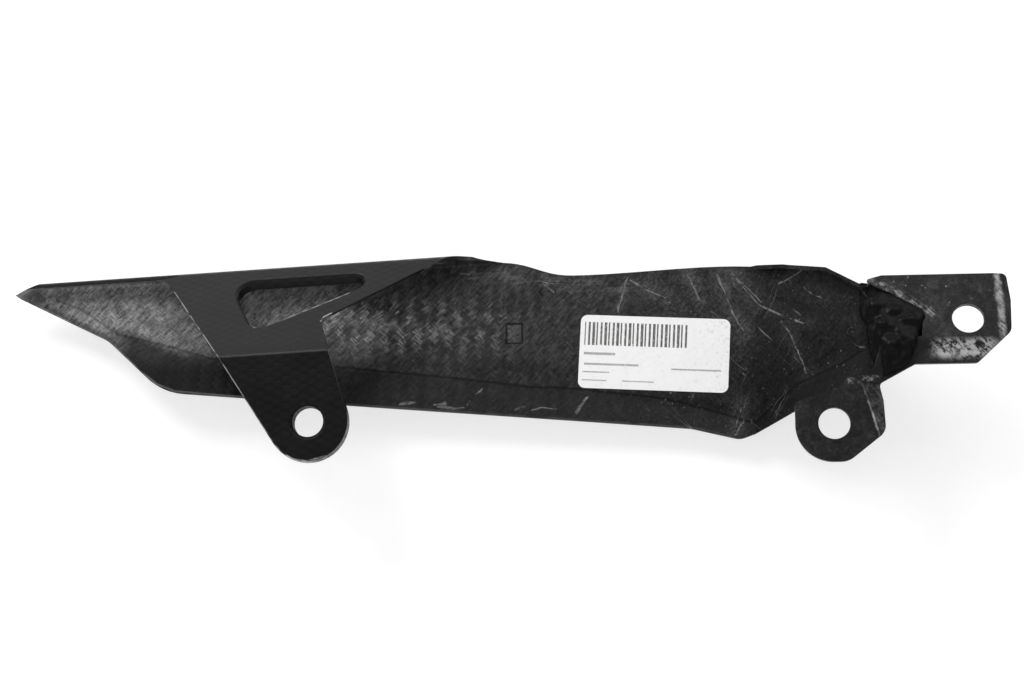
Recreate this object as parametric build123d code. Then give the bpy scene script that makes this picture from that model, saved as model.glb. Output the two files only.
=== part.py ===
from build123d import *
import os
from math import acos, atan2, cos, radians, sin, tan

# Chain guard of a motorcycle: a folded carbon channel, a bonded front bracket, its adhesive and a label.
# X runs forward along the swingarm, Z is up, and +Y points away from the wheel.
# The origin is on the axis of the rear bore, where its flared mouth meets the straight wall.

# Laminate
wall = 1.6
ridge_slope = 2.7

# Channel section at the rear bore
bend_height = 27.2
fold_height = 69.7
fold_depth = 30.0
bend_radius = 5.0
fold_radius = 3.4
corner_radius = 2.8
flange_share = 0.85
crease_radius = 16.0
lip_lean = 20.0
lip_reach = 40.0

# Outer wall, with the drop from fold to lower crease at stations from tail to the scoop's throat
throat_x = 172.0
flange_width = 12.0
crown_radius = 3200.0
crown_x = 80.0
channel_stations = (-132.0, -60.0, 20.0, 100.0, throat_x)
crease_drops = (11.5, 30.9, 43.6, 56.4, 74.8)

# Side outline of the outer wall, its top edge as (x, drop below the fold), its front from the throat on
tip_x = -127.4
tip_drop = 5.0
tail_cut_angle = 29.7
tail_knee = (-90.0, 40.5)
tail_heel = (-65.5, 18.0)
belly_start = (-25.0, 1.1)
belly_low = (-6.0, -3.6)
scoop_edge = (15.5, 4.8)
nose_run = 22.4
nose_low_z = 13.5
nose_angle = 36.2
lower_radii = (15.0, 25.0, 10.0, 7.0, 10.0, 10.0)
top_drops = ((57.0, -0.8), (64.0, 1.0), (77.0, 2.7), (93.7, 8.3), (103.0, 9.3))
throat_drops = ((-36.5, 9.5), (0.0, 10.7), (12.0, 12.4))

# Front scoop at stations beyond the throat, where it ends in a tongue behind the bracket
bond_gap = 5.0
scoop_stations = (14.0, 28.0, 40.0, 52.0)
scoop_depths = (31.5, 21.5, 14.0)
scoop_creases = (14.0, 20.5, 24.5, 26.5)
scoop_leans = (42.0, 38.0, 25.0, 3.0)
rim_drops = (10.2, 14.8, 18.8)
tongue_tops = (51.8, 58.0)
rim_radii = (7.0, 7.0, 7.0, 3.0)
rim_points = ((0.0, 39.0), (12.0, 25.0), (scoop_stations[2], 8.0))
rim_fade = 2.8
rim_foot = 40.0
nose_length = 15.0
nose_corner_x = 48.0
nose_corner_angle = 25.0
nose_clearance = 0.3

# Inner wall and rear tab
lip_drop = 2.7
wall_left_x = -35.6
wall_top_left_x = -65.0
wall_right_x = 7.4
notch = (2.3, 42.2)
wall_front_x = 46.6
wall_corner_radius = 5.0
notch_radius = 4.5
wall_front_radius = 25.0
flange_end_x = 72.0
tab_radius = 15.6
bore_diameter = 12.0
bore_flare = 1.0
collar_depth = 6.0
rim_depth = 5.0

# Window in the inner wall, in the wall's own plane from the bend up
window_top = 43.8
window_left_x = -35.7
window_right_x = 30.3
window_low = (-23.6, 14.7)
window_radii = (7.0, 4.0, 6.0)
window_collar = 4.5
window_edge = 1.2

# Front bracket, x from the throat
bracket_depth = 3.0
bracket_thickness = 2.0
bracket_bend_z = 29.0
bracket_bend_radius = 4.0
upper_tab_lean = 12.0
upper_bore = (80.1, 36.6)
lower_bore = (28.5, -3.3)
lower_tab_top = 11.6
bracket_points = (
    (13.9, 4.8), (13.9, -17.8), (33.4, -17.8), (47.7, -6.6), (47.2, 5.0), (45.8, lower_tab_top), (59.5, 19.0),
    (82.7, 19.0), (96.0, 31.3), (96.8, 44.0), (95.8, 54.9), (48.5, 54.9), (42.2, 53.1), (63.4, 40.4),
    (62.6, 29.6), (47.5, 29.6), (44.0, 17.5), (34.5, 14.8), (31.0, 10.4),
)
bracket_radii = (
    2.0, 14.0, 8.0, 5.0, 3.0, 2.0, 1.0, 3.0, 4.0, 6.0, 2.0, 3.0, 0.6, 2.0, 1.0, 2.0, 2.0, 1.5, 3.0,
)
lower_crease = ((37.5, 16.0), (45.0, -9.0))
upper_crease = ((90.6, 55.0), (93.4, 30.0))
lower_crease_turn = 8.0
upper_crease_turn = 16.0

# Adhesive between bracket and tongue, x from the throat, with lumps as (x, z, radius)
adhesive_front = 1.8
adhesive_lean_z = 28.0
adhesive_top = 51.0
adhesive_top_y = 8.6
adhesive_side = 8.0
adhesive_points = (
    (scoop_stations[2], 44.5), (49.0, 48.8), (63.8, 40.5), (63.8, 37.5), (60.0, 26.5), (57.5, 20.0),
    (45.5, 13.4), (42.8, 20.0), (42.8, 36.5), (scoop_stations[2], 40.0),
)
adhesive_lumps = (
    (45.8, 41.8, 2.8), (52.4, 39.4, 3.0), (58.0, 35.8, 2.5), (47.6, 34.0, 2.6), (51.0, 26.0, 3.2),
)
lump_height = 1.1

# Label, x from the throat, and moulded square
label_centre = (-39.4, 32.2)
label_width = 60.0
label_height = 30.0
label_corner = 2.8
label_turn = -3.2
label_thickness = 0.15
square_centre = (76.3, 41.6)
square_width = 6.5
square_height = 8.0
square_depth = 0.4

# Reach of cutting bodies beyond the part
bore_reach = 30.0
floor_line = -26.0
overshoot = 4.0

tail_start = channel_stations[0]
nose_end_x = scoop_stations[-1] + nose_length
adhesive_side_x = scoop_stations[2] + adhesive_side
channel_depth = fold_depth + flange_width
reach = channel_depth + fold_height


def ridge_rise(x):
    return x * tan(radians(ridge_slope))


def fold_z(x):
    return fold_height + ridge_rise(x)


def bend_z(x):
    return bend_height + ridge_rise(x)


def wall_lean():
    """Angle of the sloping inner wall from upright."""
    return atan2(fold_depth, fold_height - bend_height)


def flange_lip_y():
    """Depth of the flange's free edge on the wheel side."""
    return fold_depth - lip_drop * tan(wall_lean())


def floor_y(x):
    return channel_depth - (x - crown_x) ** 2 / (2 * crown_radius)


def below_fold(x, drop):
    return (x, fold_z(x) - drop)


def beyond_throat(points):
    """Points of the front, given from the throat, in the part's own frame."""
    return [(throat_x + x, z) for x, z in points]


def section_plane(x):
    return Plane(origin=(x, 0, 0), x_dir=(0, 1, 0), z_dir=(1, 0, 0))


def side_plane(y):
    """The plane of the side view at a depth, x forward and y up."""
    return Plane(origin=(0, y, 0), x_dir=(1, 0, 0), z_dir=(0, -1, 0))


def side_body(face, y_from, y_to):
    """A body whose side view, drawn as (x, z), runs between two depths."""
    return extrude(side_plane(y_from) * face, y_to - y_from, dir=(0, 1, 0))


def side_prism(outline, y_from, y_to):
    return side_body(make_face(outline), y_from, y_to)


def corner_at(x):
    """Radius of the top corner at x, limited by the flange beside the fold."""
    fold_turn = radians(90) - wall_lean()
    room = floor_y(x) - fold_depth - fold_radius * tan(fold_turn / 2)
    return min(corner_radius, flange_share * room)


def channel_section(x, drop, inset):
    """The channel's closed section at x: tab, inner wall, top flange, outer wall and lip."""
    theta = wall_lean()
    alpha = radians(lip_lean)
    top = fold_z(x) - inset
    bend = bend_z(x) - inset * tan(theta / 2)
    floor = floor_y(x) - inset
    low = floor_line - overshoot * inset
    fold = inset / cos(theta) + (top - bend_z(x)) * tan(theta)
    crease_z = fold_z(x) - drop + inset * tan(alpha / 2)
    lip_run = lip_reach + overshoot * inset
    lip_end = (floor - lip_run * tan(alpha), crease_z - lip_run)
    points = [(inset, low), (inset, bend), (fold, top), (floor, top), (floor, crease_z), lip_end]
    radii = [r - inset for r in (bend_radius, fold_radius, corner_at(x), crease_radius)]
    path = FilletPolyline(*points, radius=radii)
    return section_plane(x) * make_face(path + Line(points[-1], points[0]))


def scoop_section(x, floor, top, crease, lean, radius, inset):
    """The scoop's closed section at x: top rim, outer wall and lip, open to the wheel side."""
    alpha = radians(lean)
    top = top - inset
    floor = floor - inset
    low = floor_line - overshoot * inset
    crease_z = crease + inset * tan(alpha / 2)
    lip_y = floor - (crease_z - low) * tan(alpha)
    open_y = -reach / 2 - overshoot * inset
    points = [(open_y, top), (floor, top), (floor, crease_z), (lip_y, low)]
    path = FilletPolyline(*points, radius=[radius - inset, crease_radius - inset])
    rest = Polyline(points[-1], (open_y, low), points[0])
    return section_plane(x) * make_face(path + rest)


def channel_body(inset):
    stations = zip(channel_stations, crease_drops)
    return loft([channel_section(x, drop, inset) for x, drop in stations], ruled=True)


def scoop_floor():
    """The outer wall's depth at the scoop's stations beyond the throat, ending at the tongue."""
    tongue = bracket_depth + bracket_thickness + bond_gap + wall
    return list(zip(scoop_stations, scoop_depths + (tongue,)))


def scoop_body(inset):
    places, floors = zip(*beyond_throat([(0, floor_y(throat_x)), *scoop_floor()]))
    tops = [fold_z(x) - drop for x, drop in zip(places, rim_drops)] + list(tongue_tops)
    creases = (fold_z(throat_x) - crease_drops[-1],) + scoop_creases
    leans = (lip_lean,) + scoop_leans
    radii = (corner_at(throat_x),) + rim_radii
    stations = list(zip(places, floors, tops, creases, leans, radii))
    stations.append((throat_x + nose_end_x + wall,) + stations[-1][1:])
    return loft([scoop_section(*station, inset) for station in stations], ruled=True)


def near_zone():
    """The space on the wheel side that holds the inner wall and the tab, clear of the outer wall."""
    far_side = fold_depth + wall / 2
    points = [
        (-reach, fold_height + reach),
        (far_side, fold_height + reach),
        (far_side, fold_height - wall),
        (2 * collar_depth, bend_height),
        (2 * collar_depth, -reach),
        (-reach, -reach),
    ]
    start = tail_start - wall
    direction = Vector(1, 0, ridge_rise(1))
    plane = Plane(origin=(start, 0, ridge_rise(start)), x_dir=(0, 1, 0), z_dir=(1, 0, 0))
    length = throat_x - start
    return extrude(plane * Polygon(*points, align=None), length * direction.length, dir=direction)


def tangent_point(point, radius, side):
    """Where a line from a point outside touches a circle about the origin."""
    angle = atan2(point[1], point[0]) + side * acos(radius / Vector(*point).length)
    return (radius * cos(angle), radius * sin(angle))


def tab_edge(left, right, radius):
    """The rear tab's edge: two straight sides, tangent to an arc about the bore."""
    start = tangent_point(left, radius, 1)
    end = tangent_point(right, radius, -1)
    return Line(left, start) + ThreePointArc(start, (0, -radius), end) + Line(end, right)


def tab_corners():
    left = (wall_left_x, bend_z(wall_left_x))
    right = (wall_right_x, bend_z(wall_right_x))
    return left, right


def inner_wall_outline():
    """Side outline of the inner wall and tab, closed high above the fold."""
    left, right = tab_corners()
    tail = below_fold(tail_start - wall, lip_drop)
    top_left = below_fold(wall_top_left_x, lip_drop)
    front = below_fold(wall_front_x, lip_drop)
    end = below_fold(crown_x, lip_drop)
    rear_edge = FilletPolyline(tail, top_left, left, radius=wall_corner_radius)
    front_edge = FilletPolyline(right, notch, front, end, radius=[notch_radius, wall_front_radius])
    over = Polyline(end, (end[0], reach), (tail[0], reach), tail)
    return rear_edge + tab_edge(left, right, tab_radius) + front_edge + over


def lower_outline():
    """Everything below the outer wall's lower edge."""
    tip = below_fold(tip_x, tip_drop)
    nose_low = (nose_end_x - nose_run, nose_low_z)
    nose_tip = (nose_end_x + wall, nose_low_z + (nose_run + wall) * tan(radians(nose_angle)))
    *front, nose = beyond_throat([belly_start, belly_low, scoop_edge, nose_low, nose_tip])
    edge = FilletPolyline(tip, tail_knee, tail_heel, *front, nose, radius=lower_radii)
    far = tail_start - reach
    return edge + Polyline(nose, (nose[0], -reach), (far, -reach), (far, tip[1]), tip)


def tail_outline():
    """Everything behind the slanted end of the tail."""
    tip = below_fold(tip_x, tip_drop)
    tail_top = (tip_x + (reach - tip[1]) / tan(radians(tail_cut_angle)), reach)
    far = tail_start - reach
    return Polyline(tip, (far, tip[1]), (far, reach), tail_top, tip)


def tail_wall():
    """The turned-in end of the tail, along the slanted cut."""
    angle = radians(tail_cut_angle)
    along = Vector(cos(angle), sin(angle))
    tip = Vector(*below_fold(tip_x, tip_drop))
    low = tip - along * fold_depth
    high = tip + along * fold_depth
    across = Vector(sin(angle), -cos(angle)) * wall
    strip = Polygon(low, high, high + across, low + across, align=None)
    end = side_body(strip, flange_lip_y(), reach) & channel_outer
    return end - side_prism(lower_outline(), -reach, reach)


def upper_outline():
    """Everything above the outer wall's top edge."""
    points = [below_fold(x, drop) for x, drop in (*top_drops, *beyond_throat(throat_drops))]
    start, end = points[0], points[-1]
    return Spline(*points) + Polyline(end, (end[0], reach), (start[0], reach), start)


def flange_trim():
    """The space before the flange's free edge, which runs from the inner wall back to the outer wall."""
    end_y = floor_y(flange_end_x) - wall
    edge = [(wall_front_x, flange_lip_y()), (flange_end_x, end_y), (crown_x, end_y)]
    points = edge + [(crown_x, -reach), (wall_front_x, -reach)]
    return extrude(Plane(origin=(0, 0, bend_height)) * Polygon(*points, align=None), reach, dir=(0, 0, 1))


def nose_outline():
    """Everything above and beyond the tongue, x from the throat."""
    start = scoop_stations[2]
    top = bracket_bend_z + bond_gap / tan(radians(upper_tab_lean)) - nose_clearance
    low = top - (nose_end_x - nose_corner_x) * tan(radians(nose_corner_angle))
    beyond = nose_end_x + reach
    return Polyline(
        (start, top), (nose_corner_x, top), (nose_end_x, low), (nose_end_x, -reach), (beyond, -reach),
        (beyond, reach), (start, reach), (start, top),
    )


def rim_trim():
    """The space on the wheel side of the scoop's top rim, x from the throat."""
    start, end = rim_points[0], rim_points[-1]
    back = bracket_depth + bracket_thickness + bond_gap
    beyond = nose_end_x + reach
    rest = [(end[0] + rim_fade, back), (beyond, back), (beyond, -reach), (start[0], -reach)]
    plane = Plane(origin=(0, 0, rim_foot))
    return extrude(plane * Polygon(*rim_points, *rest, align=None), reach, dir=(0, 0, 1))


def inner_wall_plane():
    """The outer face of the sloping inner wall, x along the bend and y up the slope."""
    along = Vector(1, 0, ridge_rise(1))
    up = Vector(0, fold_depth, fold_height - bend_height)
    return Plane(origin=(0, 0, bend_height), x_dir=along, z_dir=along.cross(up))


def window_face():
    corners = [(window_left_x, window_top), (window_right_x, window_top), window_low]
    return make_face(FilletPolyline(*corners, radius=window_radii, close=True))


def window_collar_body():
    ring = offset(window_face(), wall)
    return extrude(inner_wall_plane() * ring, -window_collar)


def window_cut():
    """The window with its eased outer edge."""
    plane = inner_wall_plane()
    hole = extrude(plane * window_face(), window_collar + wall, both=True)
    eased = extrude(plane * offset(window_face(), window_edge), -window_edge, taper=45)
    return hole + eased


def tab_rim():
    """The turned-back rim of the rear tab, fading out towards the bend."""
    left, right = tab_corners()
    face = make_face(tab_edge(left, right, tab_radius) + Line(right, left))
    core = offset(face, -wall)
    ring = side_body(face, 0, rim_depth) - side_body(core, -wall, rim_depth + wall)
    deep = rim_depth + wall
    fade = [(wall, bend_height - bend_radius), (deep, 0), (deep, reach), (wall, reach)]
    plane = section_plane(-reach)
    return ring - extrude(plane * Polygon(*fade, align=None), 2 * reach, dir=(1, 0, 0))


def bore_cut(radius, flare, depth):
    """A bore along +Y from the origin, with a flared mouth."""
    mouth = radius + flare
    profile = [(0, -flare), (mouth, -flare), (mouth, 0), (radius, flare), (radius, depth), (0, depth)]
    return revolve(Polygon(*profile, align=None), Axis.Y)


def bracket_profile():
    """Section of the bent bracket plate, as (y, z): upright leg below, leaning leg above."""
    lean = radians(upper_tab_lean)
    top = fold_height
    back = bracket_depth + bracket_thickness
    back_bend = bracket_bend_z - bracket_thickness * tan(lean / 2)
    front_top = bracket_depth + (top - bracket_bend_z) * tan(lean)
    back_top = front_top + bracket_thickness / cos(lean)
    front_points = [(bracket_depth, floor_line), (bracket_depth, bracket_bend_z), (front_top, top)]
    back_points = [(back_top, top), (back, back_bend), (back, floor_line)]
    front = FilletPolyline(*front_points, radius=bracket_bend_radius + bracket_thickness)
    rear = FilletPolyline(*back_points, radius=bracket_bend_radius)
    ends = Line(front_points[-1], back_points[0]) + Line(back_points[-1], front_points[0])
    return make_face(front + rear + ends)


def bracket_outline():
    """Side outline of the bracket: lower tab, web and upper tab."""
    return FilletPolyline(*bracket_points, radius=bracket_radii, close=True)


def bracket_front(z):
    """Depth of the bracket's wheel-side face."""
    return bracket_depth + max(0, z - bracket_bend_z) * tan(radians(upper_tab_lean))


def crease_cut(crease, angle):
    """The space before a strip that turns back along a crease on the bracket's face, towards the front."""
    start, end = [Vector(x, bracket_front(z), z) for x, z in crease]
    along = (start - end).normalized()
    forward = along.cross(Vector(0, -1, 0)).normalized()
    facing = forward.cross(along)
    turn = radians(angle)
    plane = Plane(origin=start, x_dir=along, z_dir=facing * cos(turn) + forward * sin(turn))
    return extrude(plane * Rectangle(reach, reach), bracket_thickness)


def make_bracket():
    start = bracket_points[0][0] - wall
    length = nose_end_x + reach - start
    plate = extrude(section_plane(start) * bracket_profile(), length, dir=(1, 0, 0))
    plate &= side_prism(bracket_outline(), -reach, reach)
    plate -= Pos(lower_bore[0], 0, lower_bore[1]) * Rot(90, 0, 0) * Cylinder(bore_diameter / 2, bore_reach)
    upper = Pos(upper_bore[0], bracket_front(upper_bore[1]), upper_bore[1]) * Rot(90 - upper_tab_lean, 0, 0)
    plate -= upper * Cylinder(bore_diameter / 2, bore_reach)
    web_edge = Plane(origin=(0, bracket_depth + wall / 2, lower_tab_top), z_dir=(0, 1, 1))
    plate -= split(crease_cut(lower_crease, lower_crease_turn), web_edge, keep=Keep.BOTTOM)
    plate -= crease_cut(upper_crease, upper_crease_turn)
    return plate


def adhesive_face_y(x, z):
    """Depth of the adhesive's front face, leaning back above the web and beside it."""
    slope = (adhesive_top_y - adhesive_front) / (adhesive_top - adhesive_lean_z)
    above = max(0, z - adhesive_lean_z) * slope
    beside = max(0, adhesive_side_x - x)
    return adhesive_front + max(above, beside)


def lump(x, z, radius):
    """A bead of adhesive that stands out towards the wheel side, as a cap of a sphere."""
    ball = (radius ** 2 + lump_height ** 2) / (2 * lump_height)
    face = adhesive_face_y(x, z)
    bead = Pos(x, face - lump_height + ball, z) * Sphere(ball)
    back = Plane(origin=(x, face + lump_height / 2, z), z_dir=(0, 1, 0))
    return split(bead, back, keep=Keep.BOTTOM)


def make_adhesive(bracket):
    """The adhesive fills the gap from the bracket back to the flat of the scoop and tongue."""
    (neck_x, neck_y), (nose_x, nose_y) = [(x, depth - wall) for x, depth in scoop_floor()[-2:]]
    right = nose_end_x
    lean = radians(scoop_leans[-2])
    lip_top = scoop_creases[-2] + crease_radius * tan(lean / 2)
    lip_foot = lip_top - (nose_y - adhesive_front) / tan(lean)
    upright = [
        (adhesive_front, lip_foot), (adhesive_front, adhesive_lean_z), (adhesive_top_y, adhesive_top),
        (reach, adhesive_top), (reach, lip_top), (nose_y, lip_top),
    ]
    plan = [
        (neck_x, adhesive_face_y(neck_x, 0)), (adhesive_side_x, adhesive_front), (right, adhesive_front),
        (right, nose_y), (nose_x, nose_y), (neck_x, neck_y),
    ]
    body = side_body(Polygon(*adhesive_points, align=None), -reach, reach)
    body &= extrude(section_plane(neck_x) * Polygon(*upright, align=None), right - neck_x, dir=(1, 0, 0))
    body &= extrude(Polygon(*plan, align=None), reach, dir=(0, 0, 1))
    for bead in adhesive_lumps:
        body += lump(*bead)
    return body - bracket


def make_label():
    """The label on the inner face of the outer wall, following its curve."""
    face = Rot(0, 0, label_turn) * RectangleRounded(label_width, label_height, label_corner)
    (centre,) = beyond_throat([label_centre])
    sheet = side_body(Pos(*centre) * face, fold_depth, reach) & channel_inner
    return sheet - Pos(0, -label_thickness, 0) * channel_inner


def square_cut():
    """The shallow square print in the inner face of the outer wall."""
    face = Pos(*square_centre) * Rectangle(square_width, square_height)
    return side_body(face, fold_depth, reach) & (Pos(0, square_depth, 0) * channel_inner)


def make_shell():
    channel = channel_outer - channel_inner
    channel -= near_zone() - side_prism(inner_wall_outline(), -reach, reach)
    channel += tail_wall()
    channel += tab_rim()
    channel += side_body(Circle(bore_diameter / 2 + wall), 0, collar_depth)
    channel += window_collar_body()
    channel -= window_cut()
    channel -= bore_cut(bore_diameter / 2, bore_flare, collar_depth + wall)
    channel -= flange_trim()
    shell = channel + (scoop_outer - scoop_inner)
    shell -= side_prism(upper_outline(), -reach, reach)
    shell -= side_prism(lower_outline(), -reach, reach) - near_zone()
    shell -= side_prism(tail_outline(), -reach, reach)
    shell -= at_throat * side_prism(nose_outline(), -reach, reach)
    shell -= at_throat * rim_trim()
    shell -= square_cut()
    return shell


at_throat = Pos(throat_x, 0, 0)
channel_outer = channel_body(0)
channel_inner = channel_body(wall)
scoop_outer = scoop_body(0)
scoop_inner = scoop_body(wall)
guard_shell = make_shell()
front_bracket = make_bracket()
bond_adhesive = make_adhesive(front_bracket)
label = make_label()
pieces = {
    "guard_shell": guard_shell,
    "front_bracket": at_throat * front_bracket,
    "bond_adhesive": at_throat * bond_adhesive,
    "label": label,
}

os.makedirs("parts", exist_ok=True)
for name, piece in pieces.items():
    export_step(Pos(0, -bore_flare, 0) * piece, f"parts/{name}.step")
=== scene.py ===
import math

import bpy
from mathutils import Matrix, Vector


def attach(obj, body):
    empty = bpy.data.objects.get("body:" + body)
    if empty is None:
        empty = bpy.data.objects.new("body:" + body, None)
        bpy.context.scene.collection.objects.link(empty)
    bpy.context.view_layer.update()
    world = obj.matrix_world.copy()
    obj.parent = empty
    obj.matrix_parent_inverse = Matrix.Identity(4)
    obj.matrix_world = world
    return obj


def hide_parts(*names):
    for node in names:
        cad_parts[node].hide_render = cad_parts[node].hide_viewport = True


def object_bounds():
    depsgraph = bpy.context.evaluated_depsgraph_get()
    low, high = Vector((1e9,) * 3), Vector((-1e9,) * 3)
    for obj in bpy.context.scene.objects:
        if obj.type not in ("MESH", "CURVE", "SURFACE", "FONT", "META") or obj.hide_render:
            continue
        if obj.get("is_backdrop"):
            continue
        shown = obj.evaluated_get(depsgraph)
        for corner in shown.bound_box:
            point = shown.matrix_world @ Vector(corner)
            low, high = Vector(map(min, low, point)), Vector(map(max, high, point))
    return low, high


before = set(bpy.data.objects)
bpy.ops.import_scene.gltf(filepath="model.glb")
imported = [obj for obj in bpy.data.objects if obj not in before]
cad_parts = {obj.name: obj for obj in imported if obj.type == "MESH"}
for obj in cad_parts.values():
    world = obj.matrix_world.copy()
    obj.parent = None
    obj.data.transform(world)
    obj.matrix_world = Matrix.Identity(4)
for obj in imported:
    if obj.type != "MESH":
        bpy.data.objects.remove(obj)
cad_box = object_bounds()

# Sizes of the solids, in millimetres in the frame's axes
MM = 0.001
RIDGE = math.tan(math.radians(2.7))
BEND_HEIGHT = 27.2
FOLD_HEIGHT = 69.7
NEAR_WALL_DEPTH = 30.0
NEAR_WALL_END = 84.0
WALL_SLOPE = NEAR_WALL_DEPTH / (FOLD_HEIGHT - BEND_HEIGHT)
SLOPE_STRETCH = 0.228
SCOOP_START = 172.0
ROLLED_END = -66.0
TIP_END = -117.0
BORE_MOUTH_RADIUS = 7.2
LABEL_CENTRE = (132.6, 32.2)
LABEL_TURN = math.radians(-3.2)

# Slots of the shell's materials
OUTER, INNER, EDGE, ROLLED = range(4)

# The weave on both sides of the laminate
INNER_TOW = 2.19
OUTER_TOW_LENGTH = 3.4
OUTER_TOW_WIDTH = 1.8
BIAS = math.sqrt(0.5)

# Stretches along x over which the inner face's texture and its painted light and shade change
TAIL = (-110.0, 70.0)
TAIL_TIP = (-94.0, -80.0)
LIP_START = (-96.0, -78.0)
BRIGHT_START = (-40.0, 12.0)
BRIGHT_END = (22.0, 92.0)
FRONT = (88.0, 150.0)
RAMP = (166.0, 178.0)

# Colours of wear, of painted highlights on edges, and of ink
WEAR_AND_GLINT_INNER = (0.3, 0.3, 0.31)
DUST_AND_GLINT_OUTER = (0.32, 0.32, 0.32)
WORN_BRACKET = (0.46, 0.46, 0.47)
INK = (0.03, 0.03, 0.03)

# Marks on the inner face, as lines through points (x, z) of the side view
SEAM = [
    (-112, 58), (-101, 53.5), (-86, 43.1), (-67.5, 38.8), (-48, 33.0), (4, 28.8), (31.6, 25.7), (51, 23.6),
    (82, 19.5), (100, 18.4), (135, 14.0), (160, 7.0), (172, 3.0), (188, 16.2), (204, 21.6), (212, 25.8),
]
# The lower edge, along which a painted highlight runs, with painted shade beside it at the tail
LOWER_EDGE = [
    (-124.0, 57.6), (-91.5, 41.0), (-86.0, 37.0), (-75.0, 27.0), (-68.0, 21.4), (-60.0, 18.3), (-40.0, 16.4),
    (60.0, 8.4), (147.0, 1.5), (155.0, -0.2), (163.0, -2.6),
]
SWEEP = [(58.0, 66.6), (80.0, 64.6), (90.0, 63.0), (99.0, 61.1), (122.0, 60.0)]
SCRATCHES = [
    [(158.4, 64.4), (162.5, 53.1), (164.4, 47.7), (168.6, 40.2)],
    [(164.0, 64.7), (174.8, 50.8), (182.0, 45.9), (191.3, 40.6)],
    [(183.8, 42.3), (189.1, 30.1), (192.2, 20.0)],
    [(191.2, 61.1), (182.7, 58.0)],
    [(122.1, 64.1), (118.3, 49.6)],
    [(146.7, 64.3), (151.3, 53.8)],
    [(86.0, 63.2), (90.0, 62.2), (95.0, 61.8)],
    [(88.0, 62.0), (92.5, 58.5)],
    [(54.0, 67.2), (58.0, 66.6)],
    [(123.1, 62.9), (130.0, 58.5), (137.1, 55.2)],
    [(192.0, 54.9), (195.0, 51.5), (198.5, 49.4)],
    [(166.5, 9.5), (164.5, 1.0)],
    [(166.0, 62.5), (171.5, 57.0), (176.0, 51.5)],
]
SCUFFS = [
    [(101.7, 8.0), (106.0, 14.9)],
    [(164.0, -1.8), (168.1, 4.5)],
    [(30.6, 12.2), (36.8, 13.2)],
    [(44.5, 11.9), (49.0, 12.4)],
    [(46.0, 11.2), (52.0, 10.4), (56.6, 10.6)],
    [(57.6, 11.6), (58.6, 13.6)],
    [(61.0, 16.2), (63.4, 18.7)],
    [(77.0, 9.6), (81.0, 11.0)],
    [(83.5, 9.2), (88.0, 10.4), (93.5, 9.6)],
]
STAMP_LEFT, STAMP_RIGHT = 73.1, 79.5
STAMP_LOW, STAMP_HIGH = 37.6, 45.6
STAMP = [
    (STAMP_LEFT, STAMP_LOW), (STAMP_LEFT, STAMP_HIGH), (STAMP_RIGHT, STAMP_HIGH), (STAMP_RIGHT, STAMP_LOW),
    (STAMP_LEFT, STAMP_LOW),
]

# Painted highlights along the edges of the shell's moulded face: the tab's left edge, the window's edge and
# the notch
TAB_EDGE = [
    (-60.0, 57.4), (-35.6, 25.5), (-13.0, -8.6), (-10.0, -12.0), (-5.3, -14.7), (0.0, -15.6), (7.8, -13.5),
]
WINDOW_EDGE = [(-24.0, 39.2), (-19.0, 39.9), (-10.0, 44.0), (5.0, 51.3), (12.0, 54.8)]
NOTCH_EDGE = [(2.6, 41.4), (3.4, 43.4), (6.4, 45.2)]

# Worn lines of the bracket
TAB_END = [(264.6, 29.5), (264.8, 38), (264.2, 54.5)]
UPPER_CREASE = [(215.0, 53.6), (222.4, 49.4), (230.7, 44.4), (238.5, 39.2)]
LOWER_CREASE = [(209.5, 13.4), (211.2, 12.0), (212.8, 7.3), (214.7, 0.4), (217, -7.9)]
LOWER_ROOT = [(204.0, 13.0), (211.0, 13.4), (217.0, 13.6)]

# Boxes on the label, as left, right, low and high from its centre
LABEL_BARS = (-28.3, 13.0, 2.6, 12.2)
LABEL_LINES = [
    (-28.3, -15.5, -1.4, -0.2), (-28.0, -6.0, -5.6, -4.6), (-28.4, -17.6, -8.7, -8.0),
    (-28.6, -18.5, -12.0, -11.4), (-12.5, 0.5, -12.0, -11.4), (7.0, 27.0, -6.6, -5.8),
]
BAR_PITCH = 1.62

# The studio, in metres
FLOOR_Z = -0.15
STAND_Z = -0.149
FLOOR_X = (-1.5, 1.7)
FLOOR_Y = (-1.5, 1.5)
BACKDROP_X = (-0.4, 0.6)
BACKDROP_Y = 0.046
BACKDROP_TOP = 0.4
CARD_X = (-1.3, 1.45)
CARD_Y = (-1.25, 0.04)
CARD_TOP = 0.9
WORLD_LIGHT = 0.45
WORLD_SEEN = 1.0
LIGHT_TARGET = (0.06, 0.02, 0.03)
CAMERA_PLACE = (0.1443, -0.7484, -0.1297)
CAMERA_TARGET = (0.0789, -0.001, 0.02973)
LENS = 70.31
SENSOR = 36.0


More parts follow.
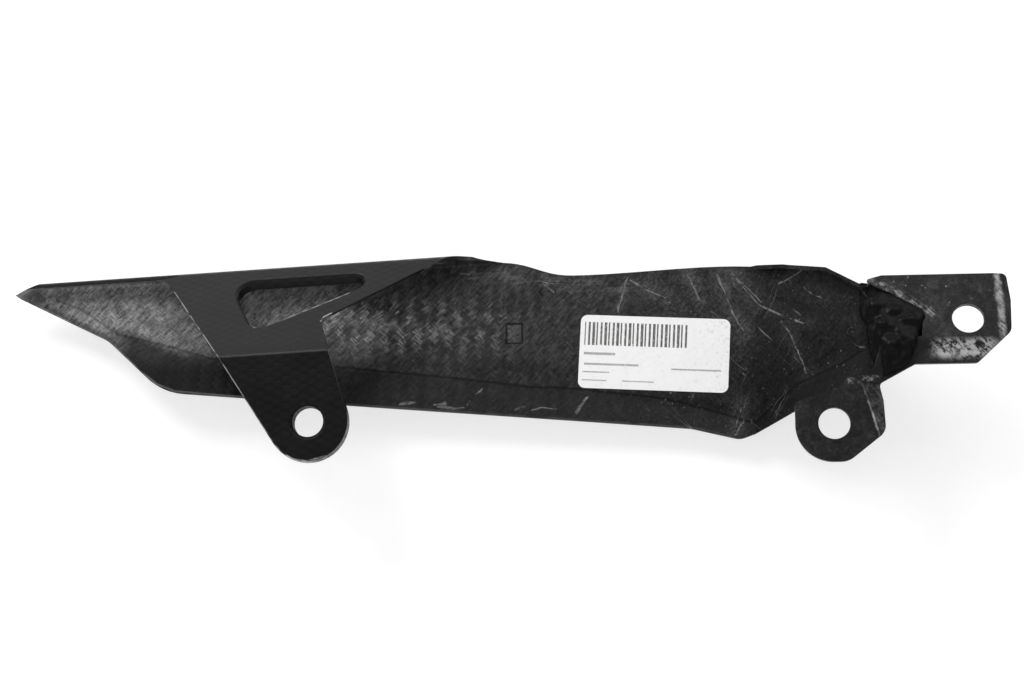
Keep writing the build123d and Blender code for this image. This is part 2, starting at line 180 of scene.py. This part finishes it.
class Field:
    """A number that varies over a surface, held by a socket of a shader graph."""

    def __init__(self, graph, socket):
        self.graph = graph
        self.socket = socket

    def __add__(self, other):
        return self.graph.math("ADD", self, other)

    def __radd__(self, other):
        return self.graph.math("ADD", other, self)

    def __sub__(self, other):
        return self.graph.math("SUBTRACT", self, other)

    def __rsub__(self, other):
        return self.graph.math("SUBTRACT", other, self)

    def __mul__(self, other):
        return self.graph.math("MULTIPLY", self, other)

    def __rmul__(self, other):
        return self.graph.math("MULTIPLY", other, self)

    def __truediv__(self, other):
        return self.graph.math("DIVIDE", self, other)

    def __pow__(self, other):
        return self.graph.math("POWER", self, other)

    def floor(self):
        return self.graph.math("FLOOR", self)

    def fraction(self):
        return self.graph.math("FRACT", self)

    def wrap(self, period):
        return self.graph.math("FLOORED_MODULO", self, period)

    def size(self):
        return self.graph.math("ABSOLUTE", self)

    def at_least(self, other):
        return self.graph.math("MAXIMUM", self, other)

    def at_most(self, other):
        return self.graph.math("MINIMUM", self, other)

    def rise(self, low, high):
        """0 below low, 1 above high, with a soft step between."""
        return self.graph.smooth(self, low, high, 0.0, 1.0)

    def fall(self, low, high):
        """1 below low, 0 above high, with a soft step between."""
        return self.graph.smooth(self, low, high, 1.0, 0.0)


class Graph:
    """The node tree of a material or a world, built from fields in millimetres."""

    def __init__(self, block):
        block.use_nodes = True
        self.block = block
        self.tree = block.node_tree
        self.tree.nodes.clear()

    def node(self, kind, **settings):
        node = self.tree.nodes.new(kind)
        for key, value in settings.items():
            setattr(node, key, value)
        return node

    def put(self, socket, value):
        if isinstance(value, Field):
            value = value.socket
        if isinstance(value, bpy.types.NodeSocket):
            self.tree.links.new(value, socket)
        else:
            socket.default_value = value

    def math(self, operation, *values):
        node = self.node("ShaderNodeMath", operation=operation)
        for socket, value in zip(node.inputs, values):
            self.put(socket, value)
        return Field(self, node.outputs[0])

    def smooth(self, value, low, high, start, end):
        node = self.node("ShaderNodeMapRange", interpolation_type="SMOOTHSTEP")
        names = ("Value", "From Min", "From Max", "To Min", "To Max")
        for name, item in zip(names, (value, low, high, start, end)):
            self.put(node.inputs[name], item)
        return Field(self, node.outputs["Result"])

    def position(self):
        """The point's x, y and z in millimetres."""
        place = self.node("ShaderNodeTexCoord").outputs["Object"]
        split = self.node("ShaderNodeSeparateXYZ")
        self.put(split.inputs[0], place)
        return [Field(self, axis) * (1 / MM) for axis in split.outputs]

    def vector(self, x, y, z):
        node = self.node("ShaderNodeCombineXYZ")
        for socket, value in zip(node.inputs, (x, y, z)):
            self.put(socket, value)
        return node.outputs[0]

    def noise(self, vector, scale=1.0, detail=2.0, roughness=0.5, distortion=0.0):
        node = self.node("ShaderNodeTexNoise")
        self.put(node.inputs["Vector"], vector)
        self.put(node.inputs["Scale"], scale)
        self.put(node.inputs["Detail"], detail)
        self.put(node.inputs["Roughness"], roughness)
        self.put(node.inputs["Distortion"], distortion)
        return Field(self, node.outputs[0])

    def blend(self, low, high, factor):
        return low + (high - low) * factor

    def colour(self, low, high, factor):
        node = self.node("ShaderNodeMix", data_type="RGBA")
        for name, value in (("Factor_Float", factor), ("A_Color", low), ("B_Color", high)):
            socket = next(s for s in node.inputs if s.identifier == name)
            self.put(socket, value if not isinstance(value, tuple) else (*value, 1.0))
        return next(s for s in node.outputs if s.identifier == "Result_Color")

    def grey(self, value):
        """A neutral colour from a field."""
        node = self.node("ShaderNodeCombineColor")
        for socket in node.inputs:
            self.put(socket, value)
        return node.outputs[0]

    def bump(self, height, rounding=0.0):
        """The normal of a relief given in millimetres, with edges eased by a radius."""
        node = self.node("ShaderNodeBump")
        self.put(node.inputs["Distance"], MM)
        self.put(node.inputs["Height"], height)
        if rounding:
            ease = self.node("ShaderNodeBevel", samples=4)
            self.put(ease.inputs["Radius"], rounding * MM)
            self.put(node.inputs["Normal"], ease.outputs[0])
        return node.outputs[0]

    def surface(self, **inputs):
        """Ends the graph with a principled shader and returns the material."""
        shader = self.node("ShaderNodeBsdfPrincipled")
        for name, value in inputs.items():
            self.put(shader.inputs[name.replace("_", " ")], value)
        return self.end("ShaderNodeOutputMaterial", shader)

    def end(self, kind, shader):
        output = self.node(kind)
        self.put(output.inputs["Surface"], shader.outputs[0])
        return self.block

    def path(self, x, z, points):
        """Distance in the side view to a line through the points."""
        nearest = None
        for (ax, az), (bx, bz) in zip(points, points[1:]):
            dx, dz = bx - ax, bz - az
            length = dx * dx + dz * dz
            px, pz = x - ax, z - az
            along = ((px * dx + pz * dz) * (1 / length)).at_least(0.0).at_most(1.0)
            ex, ez = px - along * dx, pz - along * dz
            gap = (ex * ex + ez * ez) ** 0.5
            nearest = gap if nearest is None else nearest.at_most(gap)
        return nearest

    def paths(self, x, z, lines):
        """Distance in the side view to the nearest of several lines."""
        nearest = self.path(x, z, lines[0])
        for points in lines[1:]:
            nearest = nearest.at_most(self.path(x, z, points))
        return nearest


def paint(name):
    return Graph(bpy.data.materials.new(name))


def arch(t):
    """A parabola that is 0 at 0 and 1, and 1 half-way."""
    return t * (1 - t) * 4.0


def twill(graph, p, q, tow):
    """A 2 by 2 twill: 1 where tows across p lie on top, and the height of the top tow from 0 to 1."""
    p, q = p / tow, q / tow
    u, v = p.fraction(), q.fraction()
    place = (p.floor() + q.floor()).wrap(4)
    over = place.fall(1.4, 1.6)
    tow_p = arch(u) * 0.6 + arch((place + v) * 0.5) * 0.4
    tow_q = arch(v) * 0.6 + arch((place - 2 + u) * 0.5) * 0.4
    return over, graph.blend(tow_q, tow_p, over)


def hairlines(graph, x, z, degrees, spread, offset):
    """Fine random scratches that run at an angle, as a mask."""
    c, s = math.cos(math.radians(degrees)), math.sin(math.radians(degrees))
    along = x * c + z * s
    across = z * c - x * s
    lines = graph.noise(graph.vector(along * 0.018 + offset, across * spread, offset), detail=1.0)
    gate = graph.noise(graph.vector(along * 0.05, across * 0.12, offset + 3.0))
    return (lines - 0.5).size().fall(0.0, 0.006) * gate.rise(0.52, 0.66)


def inner_weave(g, x, z, place, front):
    """The inner face's bias twill: the tow on top, its height, its fibres, and the grain of the resin."""
    wander = (g.noise(place, scale=0.02, detail=1.0) - 0.5) * 7.0
    unrolled = x + (x - SCOOP_START).at_least(0.0) * 0.15 + wander
    p, q = (unrolled - z) * BIAS, (unrolled + z) * BIAS
    over, tow = twill(g, p, q, INNER_TOW)
    fibre_p = g.noise(g.vector(p * 3.0, q * 0.22, 0.0), detail=3.0, roughness=0.65)
    fibre_q = g.noise(g.vector(p * 0.22, q * 3.0, 5.0), detail=3.0, roughness=0.65)
    fibre = g.blend(fibre_q, fibre_p, over).rise(0.38, 0.7)
    speckle = g.noise(place, scale=0.9, detail=3.0, roughness=0.65).rise(0.34, 0.7)
    streak = g.noise(g.vector(p * 0.8, q * 0.2, 2.0), detail=4.0, roughness=0.6).rise(0.3, 0.72)
    grain = g.blend(speckle, streak, 0.7 - front * 0.4)
    return over, tow, fibre, grain


def painted_tow_highlight(g, x, z, over, fibre, mottle, front):
    """Painted highlight on the tows that lie across the light: other tows above and below the middle of the
    bright band.
    """
    middle = z + x * 0.036 - 46.5
    upper = middle.rise(-3.0, 3.0)
    band = middle.size().fall(2.0, 15.0)
    shown = g.blend(1 - over, over, upper)
    bright = x.rise(*BRIGHT_START) * x.fall(*BRIGHT_END) * mottle.rise(0.28, 0.6)
    return (shown * 0.85 + 0.15) * fibre * (bright * band * 1.15 + 0.07 - front * 0.05)


def inner_wear(g, x, y, z, place, shake, grain, front):
    """Scratches, scuffs, hairlines and specks of the inner face, and the haze rubbed round the scratches."""
    bent_x, bent_z = x + shake, z - shake * 0.6
    broken = g.noise(place, scale=0.35, detail=4.0, roughness=0.65).rise(0.36, 0.58)
    smear = g.noise(g.vector(x * 0.35, y, z * 0.8), detail=4.0, roughness=0.65).rise(0.3, 0.62)
    width = 0.7 + g.noise(place, scale=0.1).rise(0.48, 0.66) * 1.3
    scratched = g.paths(bent_x, bent_z, SCRATCHES)
    scratch = (scratched / width).fall(0.06, 0.4) * broken * (0.45 + grain * 0.55)
    scuff = (g.paths(bent_x, bent_z, SCUFFS) / width).fall(0.05, 0.5) * smear * (0.35 + grain * 0.6)
    falling = hairlines(g, bent_x, bent_z, -48, spread=0.3, offset=1.7)
    rising = hairlines(g, bent_x, bent_z, 62, spread=0.26, offset=8.1)
    fine = falling.at_least(rising)
    speck = g.noise(place, scale=1.1, detail=1.0).rise(0.72, 0.78)
    wear = scratch.at_least(scuff).at_least(fine * front * 0.55).at_least(speck * front * 0.5)
    return wear, scratched.fall(0.5, 6.0) * front


def bag_side():
    """The rough inner face of the laminate: coarse bias twill under a grainy skin of resin, with wear, and
    with painted light and shade: a highlight on the tows, a lighter upper floor and tail, shade on the lip
    and ramp, and a highlight along the lower edge.
    """
    g = paint("laminate_inner")
    x, y, z = g.position()
    place = g.vector(x, y, z)
    tail, front, ramp = x.fall(*TAIL), x.rise(*FRONT), x.rise(*RAMP)
    over, tow, fibre, grain = inner_weave(g, x, z, place, front)
    mottle = g.noise(place, scale=0.14, detail=3.0, roughness=0.6)
    shake = (g.noise(place, scale=0.2, detail=4.0, roughness=0.6) - 0.5) * 2.4

    seam_z = (28.9 - x * 0.105).at_least(9.2 - x * 0.43)
    # Painted shade: the lip below the seam is darkened, most of all at the tail.
    shaded_lip = (seam_z - z + tail * 4.0).rise(0.0, tail * 6.0 + 1.2) * (1 - ramp) * x.rise(*LIP_START)
    # Painted highlight on the tows in a band along the floor, weaker on the ramp and the lip.
    tow_highlight = painted_tow_highlight(g, x, z, over, fibre, mottle, front) * (1 - ramp * 0.6) * (1 - shaded_lip * 0.7)

    wear, rubbed = inner_wear(g, x, y, z, place, shake, grain, front)
    below = g.path(x, z, LOWER_EDGE)
    tail_edge_shade = below.fall(0.6, 4.0) * x.fall(*TAIL_TIP)
    # Painted highlight along the lower edge, stronger at the tail; it joins the wear, so from here on the
    # wear also holds it.
    lower_edge_glint = below.fall(0.15, 0.6) * g.noise(place, scale=0.12, detail=3.0).rise(0.3, 0.55)
    wear = wear.at_least(lower_edge_glint * (0.12 + tail * 0.4))

    groove = g.path(x, z + shake * 0.4, SEAM).fall(0.2, 0.8) * (1 - tail * 0.5)
    brushed = g.noise(g.vector(x * 0.09, y, z * 0.9), detail=4.0, roughness=0.6).rise(0.38, 0.66)
    swept = g.path(x, z, SWEEP).fall(0.5, 5.0) * brushed
    stamp_edge = g.path(x + shake * 0.3, z, STAMP).fall(0.15, 0.55)
    stamp_x = x.rise(STAMP_LEFT, STAMP_LEFT + 0.4) * x.fall(STAMP_RIGHT - 0.4, STAMP_RIGHT)
    stamp_z = z.rise(STAMP_LOW, STAMP_LOW + 0.4) * z.fall(STAMP_HIGH - 1.0, STAMP_HIGH)
    lit_behind_window = x.rise(-50.0, -30.0) * x.fall(0.0, 16.0) * z.rise(44.0, 50.0)

    # Painted light: the floor is lighter towards the top, far lighter on the upper part of the tail, and
    # lighter where it shows through the window; the stamped square, the haze round scratches and the brushed
    # strokes are its own tone.
    level = 0.017 + z.rise(20.0, 40.0) * 0.016 + tail * z.rise(26.0, 38.0) * 0.15
    level = level + stamp_x * stamp_z * 0.012 + lit_behind_window * 0.07 + rubbed * 0.022 + swept * 0.05
    # Painted shade: darker on the front ramp and in a band along the lower edge at the tail.
    level = level * (1 - ramp * 0.55) * (0.25 + mottle * 1.5) * (1 - tail_edge_shade * 0.65)
    texture = 0.1 + grain * (1.0 + tail * 0.3) + fibre * (0.7 + tail * 0.2)
    tone = level * texture + tow_highlight * (0.12 + grain * 0.42)
    tone = tone * (1 - shaded_lip * (0.15 + tail * 0.8)) * (1 - groove * 0.7) * (1 - stamp_edge * 0.8)
    relief = tow * (1 - front) * 0.1 + fibre * 0.04 + grain * 0.06 + wear * 0.04
    relief = relief - groove * 0.12 - stamp_edge * 0.1
    return g.surface(
        Base_Color=g.colour(g.grey(tone), WEAR_AND_GLINT_INNER, wear * 0.75),
        Roughness=0.42 + grain * 0.16,
        Normal=g.bump(relief),
        Tangent=g.vector(1.0, 0.0, (1 - over * 2) * (1 - front)),
        Anisotropic=0.5,
        Specular_IOR_Level=0.09,
    )


def tool_side(name, shine):
    """The moulded face of the laminate: a fine plain weave under a satin skin, with painted light on the
    sloping wall and painted highlights along the edges of the tab, the window and the notch.
    """
    g = paint(name)
    x, y, z = g.position()
    place = g.vector(x, y, z)
    bend = x * RIDGE + BEND_HEIGHT
    flat_z = z - x * RIDGE + (z - bend).at_least(0.0) * SLOPE_STRETCH
    p, q = x / OUTER_TOW_LENGTH, flat_z / OUTER_TOW_WIDTH
    over = (p.floor() + q.floor()).wrap(2).fall(0.4, 0.6)
    tow = g.blend(arch(q.fraction()), arch(p.fraction()), over)
    fibre_p = g.noise(g.vector(x * 3.5, flat_z * 0.35, 0.0))
    fibre_q = g.noise(g.vector(x * 0.25, flat_z * 3.5, 5.0))
    fibre = g.blend(fibre_q, fibre_p, over)
    cloud = g.noise(place, scale=0.06)
    dust = g.noise(place, scale=0.9).rise(0.72, 0.8)
    # Painted light: the weave shows lighter on the sloping wall above the bend than on the tab below it.
    lit_slope = (z - bend).rise(0.0, 6.0)
    tone = 0.001 + cloud * 0.002 + (fibre * 0.004 + (1 - over) * tow * 0.004) * (0.25 + lit_slope * 1.1)

    # Painted highlights along the tab's left edge, the window's edge and the notch, on the near wall only.
    edge_glint = g.path(x, z, TAB_EDGE).fall(0.15, 0.5) * x.fall(4.0, 9.0)
    edge_glint = edge_glint.at_least(g.paths(x, z, [WINDOW_EDGE, NOTCH_EDGE]).fall(0.1, 0.45))
    on_near_wall = y.fall(NEAR_WALL_DEPTH, NEAR_WALL_DEPTH + 2.5)
    edge_glint = edge_glint * g.noise(place, scale=0.25, detail=3.0).rise(0.3, 0.6) * on_near_wall
    relief = tow * 0.009 + g.noise(place, scale=0.3) * 0.03
    return g.surface(
        Base_Color=g.colour(g.grey(tone), DUST_AND_GLINT_OUTER, (dust * 0.08).at_least(edge_glint)),
        Roughness=0.28 + cloud * 0.1 + over * 0.05,
        Normal=g.bump(relief, rounding=0.5),
        Specular_IOR_Level=shine,
    )


def cut_edge():
    """The sawn and sanded edge of the laminate, with its plies showing as fine lines."""
    g = paint("laminate_edge")
    x, y, z = g.position()
    plies = g.noise(g.vector(x * 0.2, y * 4.0, z * 0.6))
    chips = g.noise(g.vector(x, y, z), scale=0.8, detail=3.0)
    tone = 0.05 + plies * 0.1 + chips.rise(0.5, 0.75) * 0.16
    return g.surface(
        Base_Color=g.grey(tone),
        Roughness=0.62,
        Normal=g.bump(plies * 0.06 + chips * 0.08),
        Specular_IOR_Level=0.4,
    )


def bracket_wear(g, x, z, place, rub, blotch):
    """White scuffs on the bracket: its patch, its end, its creases, its turned flank and stray spots."""
    shake = (g.noise(place, scale=0.3, detail=3.0, roughness=0.6) - 0.5) * 2.4
    bent_x, bent_z = x + shake, z + shake * 0.5
    patch_x = bent_x.rise(236.0, 242.0) * bent_x.fall(257.0, 265.0)
    patch_z = bent_z.rise(19.5, 23.0) * bent_z.fall(26.6, 29.6)
    end_band = g.path(bent_x, z, TAB_END).fall(0.3, 2.0)
    diagonal = g.path(x, bent_z, UPPER_CREASE).fall(0.2, 2.4)
    fold = g.path(x + shake * 0.25, z, LOWER_CREASE).fall(0.1, 0.6)
    root = g.path(bent_x, bent_z, LOWER_ROOT).fall(0.3, 2.0)
    turned = (x + z * 0.295 - 214.8).rise(0.0, 0.5) * z.fall(10.0, 13.0) * x.fall(222.0, 224.0)
    spots = g.noise(place, scale=0.7, detail=1.0).rise(0.7, 0.76) * z.rise(38.0, 46.0)

    wear = patch_x * patch_z * rub.rise(0.43, 0.56)
    wear = wear.at_least(end_band * rub.rise(0.36, 0.6))
    wear = wear.at_least(diagonal * rub.rise(0.44, 0.66) * 0.8)
    wear = wear.at_least(fold * blotch.rise(0.34, 0.62) * z.fall(-6.0, 16.0))
    wear = wear.at_least(turned * rub.rise(0.4, 0.8) * 0.3)
    wear = wear.at_least(root * rub.rise(0.46, 0.66) * 0.6)
    return wear.at_least(spots * 0.35)


def bracket_face():
    """The bracket's matte laminate, cloudy from sanding and scuffed white at its creases, with painted shade
    on its web between the tabs.
    """
    g = paint("bracket_laminate")
    x, y, z = g.position()
    place = g.vector(x, y, z)
    cloud = g.noise(place, scale=0.1, detail=5.0, roughness=0.7, distortion=0.2)
    grain = g.noise(place, scale=1.3, detail=3.0, roughness=0.6)
    sanded = g.vector(x * 0.9 + z * 0.9, y, x * 0.12 - z * 0.12)
    streak = g.noise(sanded, detail=4.0, roughness=0.7)
    blotch = g.noise(place, scale=0.35, detail=5.0, roughness=0.72, distortion=0.5)
    wear = bracket_wear(g, x, z, place, streak * 0.45 + blotch * 0.55, blotch)

    haze = cloud.rise(0.42, 0.72) * (0.3 + z.rise(8.0, 30.0) * 0.7)
    # Painted shade: the web between the tabs, set back behind the upper tab, is darkened.
    shaded_web = z.rise(11.0, 14.0) * z.fall(27.0, 31.0) * x.fall(234.0, 239.0)
    mottle = 0.35 + blotch.rise(0.35, 0.68) * 1.1
    tone = (0.003 + haze * 0.03 + grain.rise(0.3, 0.7) * 0.012) * mottle * (1 - shaded_web * 0.7)
    relief = grain * 0.07 + streak * 0.06 + wear * 0.04
    return g.surface(
        Base_Color=g.colour(g.grey(tone), WORN_BRACKET, wear * 0.85),
        Roughness=0.58,
        Normal=g.bump(relief, rounding=0.5),
        Specular_IOR_Level=0.22,
    )


def adhesive():
    """Cured adhesive: black, lumpy and half glossy."""
    g = paint("adhesive")
    place = g.vector(*g.position())
    lumps = g.noise(place, scale=0.25, detail=1.0, roughness=0.4)
    pores = g.noise(place, scale=1.4)
    return g.surface(
        Base_Color=g.grey(0.003 + pores * 0.006),
        Roughness=0.22 + pores * 0.12,
        Normal=g.bump(lumps * 0.4 + pores * 0.03),
        Specular_IOR_Level=0.06,
    )


def label_print():
    """A matte white sticker with plain bars and grey lines that stand for no words or code."""
    g = paint("label")
    x, y, z = g.position()
    place = g.vector(x, y, z)
    dx, dz = x - LABEL_CENTRE[0], z - LABEL_CENTRE[1]
    u = dx * math.cos(LABEL_TURN) + dz * math.sin(LABEL_TURN)
    v = dz * math.cos(LABEL_TURN) - dx * math.sin(LABEL_TURN)
    soft = 0.15

    def box(left, right, low, high):
        across = u.rise(left, left + soft) * u.fall(right - soft, right)
        return across * v.rise(low, low + soft) * v.fall(high - soft, high)

    bar = (u + 28.4) / BAR_PITCH
    width = 0.34 + bar.floor().wrap(3) * 0.14
    bars = bar.fraction().fall(width, width + 0.08) * box(*LABEL_BARS)
    lines = box(*LABEL_LINES[0])
    for line in LABEL_LINES[1:]:
        lines = lines.at_least(box(*line))
    faded = g.noise(place, scale=2.2).rise(0.25, 0.45)
    ink = (bars * 0.92).at_least(lines * 0.6) * faded
    dirt = g.noise(place, scale=0.6, detail=5.0, roughness=0.75).rise(0.52, 0.7)
    dirt = dirt * (0.3 + u.rise(8.0, 28.0) * 0.7)
    paper = 0.8 + g.noise(place, scale=0.25, detail=3.0) * 0.06 - dirt * 0.3
    return g.surface(
        Base_Color=g.colour(g.grey(paper), INK, ink),
        Roughness=0.55,
        Normal=g.bump(g.noise(place, scale=1.2) * 0.02),
        Specular_IOR_Level=0.3,
    )


def dress(node, *materials):
    node.data.materials.clear()
    for material in materials:
        node.data.materials.append(material)


def shell_side(centre, normal, depth):
    """The slot of a face of the shell, from its centre in millimetres, its normal and its reach along y."""
    facing, steep = 0.3, 0.5
    edge_depth = 2.2
    bend = BEND_HEIGHT + centre.x * RIDGE
    fold = FOLD_HEIGHT + centre.x * RIDGE
    wall_y = max(0.0, centre.z - bend) * WALL_SLOPE
    near = centre.x < NEAR_WALL_END and centre.y < min(NEAR_WALL_DEPTH + 1.0, wall_y + 6.5)
    if centre.x < TIP_END and normal.y < facing and normal.z < steep:
        return EDGE
    if near:
        if normal.y > facing or math.hypot(centre.x, centre.z) < BORE_MOUTH_RADIUS:
            return INNER
        if normal.y < -facing or depth > edge_depth:
            return ROLLED if centre.x < ROLLED_END else OUTER
        return EDGE
    on_flange = centre.z > fold - 4.0
    if normal.y > facing or (on_flange and normal.z > steep):
        return OUTER
    if normal.y < -facing or normal.z < -steep:
        return INNER
    scoop_rim = centre.x > 150.0 and centre.z > 50.0
    top_rim = centre.x > 44.0 and centre.z > fold - 14.0
    return INNER if scoop_rim or top_rim else EDGE


def dress_shell(shell):
    """Gives each face of the shell its side of the laminate."""
    outer = tool_side("laminate_outer", shine=0.26)
    rolled = tool_side("laminate_rolled", shine=0.08)
    dress(shell, outer, bag_side(), cut_edge(), rolled)
    for face in shell.data.polygons:
        depths = [shell.data.vertices[i].co.y / MM for i in face.vertices]
        face.material_index = shell_side(face.center / MM, face.normal, max(depths) - min(depths))


def dress_bracket(bracket):
    """Gives the bracket its matte faces and cut edges."""
    dress(bracket, bracket_face(), cut_edge())
    for face in bracket.data.polygons:
        face.material_index = 0 if abs(face.normal.y) > 0.5 else 1


def adhesive_beads(node):
    """The adhesive's beads run together: the solid's form with its edges melted."""
    mesh = node.data.copy()
    mesh.transform(node.matrix_world)
    piece = bpy.data.objects.new("adhesive_beads", mesh)
    bpy.context.scene.collection.objects.link(piece)
    melt = piece.modifiers.new("melt", "REMESH")
    melt.mode = "VOXEL"
    melt.voxel_size = 0.5 * MM
    smooth = piece.modifiers.new("smooth", "SMOOTH")
    smooth.factor = 0.5
    smooth.iterations = 40
    clouds = bpy.data.textures.new("adhesive_lumps", "CLOUDS")
    clouds.noise_scale = 6.0 * MM
    clouds.noise_depth = 1
    lumps = piece.modifiers.new("lumps", "DISPLACE")
    lumps.texture = clouds
    lumps.strength = 1.8 * MM
    lumps.mid_level = 0.3
    bpy.context.view_layer.update()
    shape = piece.evaluated_get(bpy.context.evaluated_depsgraph_get())
    final = bpy.data.meshes.new_from_object(shape)
    piece.modifiers.clear()
    piece.data = final
    final.polygons.foreach_set("use_smooth", [True] * len(final.polygons))
    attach(piece, "root")
    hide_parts("bond_adhesive")
    return piece


def sheet(name, corners):
    """A flat piece of the studio with four corners."""
    mesh = bpy.data.meshes.new(name)
    mesh.from_pydata(corners, [], [(0, 1, 2, 3)])
    piece = bpy.data.objects.new(name, mesh)
    bpy.context.scene.collection.objects.link(piece)
    piece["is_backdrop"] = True
    return piece


def upright(name, start, end, top):
    """A standing sheet over a line from start to end on the floor."""
    return sheet(name, [(*start, STAND_Z), (*end, STAND_Z), (*end, top), (*start, top)])


def seen_rays(g):
    """1 for rays from the camera, off shiny faces and through clear ones, and 0 for rays that carry light."""
    path = g.node("ShaderNodeLightPath")
    kinds = ("Is Camera Ray", "Is Glossy Ray", "Is Transmission Ray")
    camera, glossy, clear = (Field(g, path.outputs[kind]) for kind in kinds)
    return camera.at_least(glossy).at_least(clear)


def backdrop_paper():
    """White paper that the camera sees from the front only, and that keeps the shadow."""
    g = paint("backdrop_paper")
    front = 1 - Field(g, g.node("ShaderNodeNewGeometry").outputs["Backfacing"])
    paper = g.node("ShaderNodeBsdfDiffuse")
    g.put(paper.inputs["Color"], (0.5, 0.5, 0.5, 1.0))
    glow = g.node("ShaderNodeEmission")
    g.put(glow.inputs["Strength"], 0.62)
    lit = g.node("ShaderNodeAddShader")
    g.put(lit.inputs[0], paper.outputs[0])
    g.put(lit.inputs[1], glow.outputs[0])
    clear = g.node("ShaderNodeBsdfTransparent")
    mix = g.node("ShaderNodeMixShader")
    g.put(mix.inputs[0], seen_rays(g) * front)
    g.put(mix.inputs[1], clear.outputs[0])
    g.put(mix.inputs[2], lit.outputs[0])
    return g.end("ShaderNodeOutputMaterial", mix)


def wall_paint(name, tone, change, detail, roughness):
    """Plain paint with a slight change of tone over the sheet."""
    g = paint(name)
    cloud = g.noise(g.vector(*g.position()), scale=0.01, detail=detail)
    return g.surface(Base_Color=g.grey(tone + cloud * change), Roughness=roughness)


def dark_card(name, start, end):
    """A dark card around the camera, which only shiny faces show."""
    card = upright(name, start, end, CARD_TOP)
    dress(card, wall_paint("card_paint", tone=0.02, change=0.01, detail=2.0, roughness=0.9))
    card.visible_camera = False
    card.visible_diffuse = False
    card.visible_shadow = False
    card.visible_transmission = False


def soft_light(name, place, size, watts):
    lamp = bpy.data.lights.new(name, "AREA")
    lamp.shape = "SQUARE"
    lamp.size = size
    lamp.energy = watts
    piece = bpy.data.objects.new(name, lamp)
    piece.location = place
    piece.rotation_euler = (Vector(LIGHT_TARGET) - Vector(place)).to_track_quat("-Z", "Y").to_euler()
    bpy.context.scene.collection.objects.link(piece)


def studio_world():
    """A white world that lights the part less than it shows."""
    world = bpy.data.worlds.new("studio")
    bpy.context.scene.world = world
    g = Graph(world)
    background = g.node("ShaderNodeBackground")
    g.put(background.inputs["Strength"], g.blend(WORLD_LIGHT, WORLD_SEEN, seen_rays(g)))
    g.end("ShaderNodeOutputWorld", background)


def studio_camera():
    lens = bpy.data.cameras.new("camera")
    lens.sensor_width = SENSOR
    lens.lens = LENS
    camera = bpy.data.objects.new("camera", lens)
    camera.location = CAMERA_PLACE
    aim = Vector(CAMERA_TARGET) - camera.location
    camera.rotation_euler = aim.to_track_quat("-Z", "Y").to_euler()
    bpy.context.scene.collection.objects.link(camera)
    bpy.context.scene.camera = camera


def studio():
    """A white floor and backdrop, dark cards for the reflections, two soft lights and the camera."""
    bpy.context.scene.view_settings.view_transform = "Standard"
    left, right = FLOOR_X
    near, far = FLOOR_Y
    corners = [(left, near), (right, near), (right, far), (left, far)]
    floor = sheet("floor", [(*corner, FLOOR_Z) for corner in corners])
    dress(floor, wall_paint("floor_paint", tone=0.8, change=0.03, detail=3.0, roughness=0.8))
    start, end = ((x, BACKDROP_Y) for x in BACKDROP_X)
    dress(upright("backdrop", start, end, BACKDROP_TOP), backdrop_paper())
    studio_world()

    left, right = CARD_X
    near, far = CARD_Y
    dark_card("card_front", (left, near), (right, near))
    dark_card("card_left", (left, near), (left, far))
    dark_card("card_right", (right, near), (right, far))
    soft_light("key", (-0.5, -0.75, 0.85), size=0.5, watts=10.0)
    soft_light("fill", (0.5, -0.9, 0.9), size=0.8, watts=5.0)
    studio_camera()


dress_shell(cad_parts["guard_shell"])
dress_bracket(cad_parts["front_bracket"])
dress(adhesive_beads(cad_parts["bond_adhesive"]), adhesive())
dress(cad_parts["label"], label_print())
studio()

boxes = {"cad": cad_box, "visual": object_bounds()}
boxes = {name: [[float(v) for v in corner] for corner in box] for name, box in boxes.items()}
